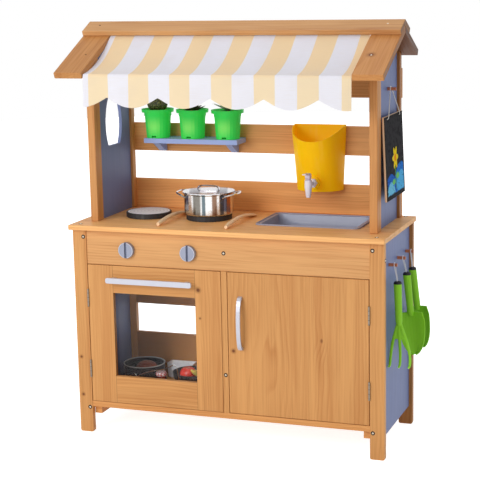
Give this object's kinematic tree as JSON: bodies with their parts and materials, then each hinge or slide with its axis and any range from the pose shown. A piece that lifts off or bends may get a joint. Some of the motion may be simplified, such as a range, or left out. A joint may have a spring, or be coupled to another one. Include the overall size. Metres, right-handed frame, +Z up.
{
  "type": "mud kitchen",
  "caption": "Children's wooden play kitchen with oven, cupboard, sink and hob under a gabled frame with a striped awning, shelf, water tank and hanging tools",
  "frame": {"origin": "on the ground under the middle of the kitchen's bounding box", "axes": "+X to the viewer's right along the worktop, +Y from the front to the back, +Z up"},
  "size_m": [0.97, 0.3954, 1.1492],
  "materials": {
    "pine": "honey-stained pine, satin",
    "blue_panel": "blue-grey stained panel, matt",
    "pale_blue": "pale blue painted board, satin",
    "canvas": "woven canvas, printed in broad stripes of pale yellow and white",
    "silver": "silver-grey moulded plastic, satin",
    "hinge_steel": "zinc-plated steel",
    "steel": "polished stainless steel",
    "hob": "black plate with a silver-grey printed top",
    "sink": "grey moulded basin, satin",
    "yellow": "yellow moulded plastic, satin",
    "white_plastic": "white moulded plastic",
    "pot_green": "bright green moulded plastic",
    "tool_green": "leaf green moulded plastic",
    "board": "black chalkboard face with bare wood edges and a painted picture",
    "cord": "thin cotton cord",
    "acrylic": "clear acrylic pane",
    "spoon_wood": "bare beech",
    "toy_black": "dark enamelled metal"
  },
  "bodies": {
    "kitchen": {"countertop": "pine", "front_apron": "pine", "front_left_leg": "pine", "front_right_leg": "pine", "back_left_leg": "pine", "back_right_leg": "pine", "centre_divider": "pine", "floor_board": "pine", "back_upper_board": "pine", "back_lower_board": "pine", "front_left_post": "pine", "front_right_post": "pine", "back_left_post": "pine", "back_right_post": "pine", "splashback": "pine", "middle_back_rail": "pine", "top_back_rail": "pine", "left_front_roof_board": "pine", "right_front_roof_board": "pine", "left_back_roof_board": "pine", "right_back_roof_board": "pine", "ridge_cap": "pine", "awning_rail": "pine", "left_side_panel": "blue_panel", "right_side_panel": "blue_panel", "left_upper_panel": "blue_panel", "right_upper_panel": "blue_panel", "shelf": "pale_blue", "awning": "canvas", "oven_upper_hinge": "hinge_steel", "oven_lower_hinge": "hinge_steel", "cupboard_upper_hinge": "hinge_steel", "cupboard_lower_hinge": "hinge_steel", "left_hob_plate": "hob", "right_hob_plate": "hob"},
    "oven_door": {"oven_door_frame": "pine", "oven_window": "acrylic", "oven_handle": "silver"},
    "cupboard_door_leaf": {"cupboard_door": "pine", "cupboard_handle": "silver"},
    "left_knob_body": {"left_knob": "silver"},
    "right_knob_body": {"right_knob": "silver"},
    "sink": {"sink_basin": "sink"},
    "pot_body": {"pot": "steel"},
    "pot_lid_body": {"pot_lid": "steel"},
    "left_spoon": {"left_wooden_spoon": "spoon_wood"},
    "right_spoon": {"right_wooden_spoon": "spoon_wood"},
    "plant_pot_1_body": {"plant_pot_1": "pot_green"},
    "plant_pot_2_body": {"plant_pot_2": "pot_green"},
    "plant_pot_3_body": {"plant_pot_3": "pot_green"},
    "dispenser": {"water_dispenser": "yellow", "dispenser_tap": "white_plastic"},
    "tap_lever_body": {"tap_lever": "white_plastic"},
    "hanging_board": {"blackboard": "board", "blackboard_cord": "cord"},
    "rake": {"hand_rake": "tool_green"},
    "shovel_front": {"front_shovel": "tool_green"},
    "shovel_rear": {"rear_shovel": "tool_green"},
    "pan": {"oven_pan": "toy_black"},
    "bowl": {"oven_bowl": "toy_black"}
  },
  "joints": [
    {"name": "oven_door_hinge", "type": "hinge", "parent": "kitchen", "child": "oven_door", "pos_m": [-0.43285, -0.14706, 0.0935], "axis": [0, 0, -1], "range_deg": [0, 100]},
    {"name": "cupboard_door_hinge", "type": "hinge", "parent": "kitchen", "child": "cupboard_door_leaf", "pos_m": [0.37495, -0.14706, 0.0935], "axis": [0, 0, 1], "range_deg": [0, 100]},
    {"name": "left_knob_turn", "type": "hinge", "parent": "kitchen", "child": "left_knob_body", "pos_m": [-0.31095, -0.14126, 0.534], "axis": [0, -1, 0], "continuous": true},
    {"name": "right_knob_turn", "type": "hinge", "parent": "kitchen", "child": "right_knob_body", "pos_m": [-0.12895, -0.14126, 0.534], "axis": [0, -1, 0], "continuous": true},
    {"name": "sink_lift", "type": "slide", "parent": "kitchen", "child": "sink", "axis": [0, 0, 1], "range_m": [0, 0.06]},
    {"name": "pot_lift", "type": "slide", "parent": "kitchen", "child": "pot_body", "axis": [0, 0, 1], "range_m": [0, 0.05]},
    {"name": "pot_lid_lift", "type": "slide", "parent": "pot_body", "child": "pot_lid_body", "axis": [0, 0, 1], "range_m": [0, 0.03]},
    {"name": "left_spoon_lift", "type": "slide", "parent": "kitchen", "child": "left_spoon", "axis": [0, 0, 1], "range_m": [0, 0.03]},
    {"name": "right_spoon_lift", "type": "slide", "parent": "kitchen", "child": "right_spoon", "axis": [0, 0, 1], "range_m": [0, 0.03]},
    {"name": "plant_pot_1_lift", "type": "slide", "parent": "kitchen", "child": "plant_pot_1_body", "axis": [0, 0, 1], "range_m": [0, 0.03]},
    {"name": "plant_pot_2_lift", "type": "slide", "parent": "kitchen", "child": "plant_pot_2_body", "axis": [0, 0, 1], "range_m": [0, 0.03]},
    {"name": "plant_pot_3_lift", "type": "slide", "parent": "kitchen", "child": "plant_pot_3_body", "axis": [0, 0, 1], "range_m": [0, 0.03]},
    {"name": "dispenser_lift", "type": "slide", "parent": "kitchen", "child": "dispenser", "axis": [0, 0, 1], "range_m": [0, 0.02]},
    {"name": "tap_lever_tilt", "type": "hinge", "parent": "dispenser", "child": "tap_lever_body", "pos_m": [0.15205, 0.05306, 0.7238], "axis": [-1, 0, 0], "range_deg": [0, 85]},
    {"name": "board_swing", "type": "hinge", "parent": "kitchen", "child": "hanging_board", "pos_m": [0.37605, 0.04774, 0.9665], "axis": [1, 0, 0], "range_deg": [-7, 7]},
    {"name": "rake_swing", "type": "hinge", "parent": "kitchen", "child": "rake", "pos_m": [0.42205, -0.05926, 0.513], "axis": [1, 0, 0], "range_deg": [-6, 6]},
    {"name": "front_shovel_swing", "type": "hinge", "parent": "kitchen", "child": "shovel_front", "pos_m": [0.42205, 0.03574, 0.513], "axis": [1, 0, 0], "range_deg": [-6, 6]},
    {"name": "rear_shovel_swing", "type": "hinge", "parent": "kitchen", "child": "shovel_rear", "pos_m": [0.42205, 0.13074, 0.513], "axis": [1, 0, 0], "range_deg": [-6, 6]},
    {"name": "pan_lift", "type": "slide", "parent": "kitchen", "child": "pan", "axis": [0, 0, 1], "range_m": [0, 0.04]},
    {"name": "bowl_lift", "type": "slide", "parent": "kitchen", "child": "bowl", "axis": [0, 0, 1], "range_m": [0, 0.04]}
  ]
}
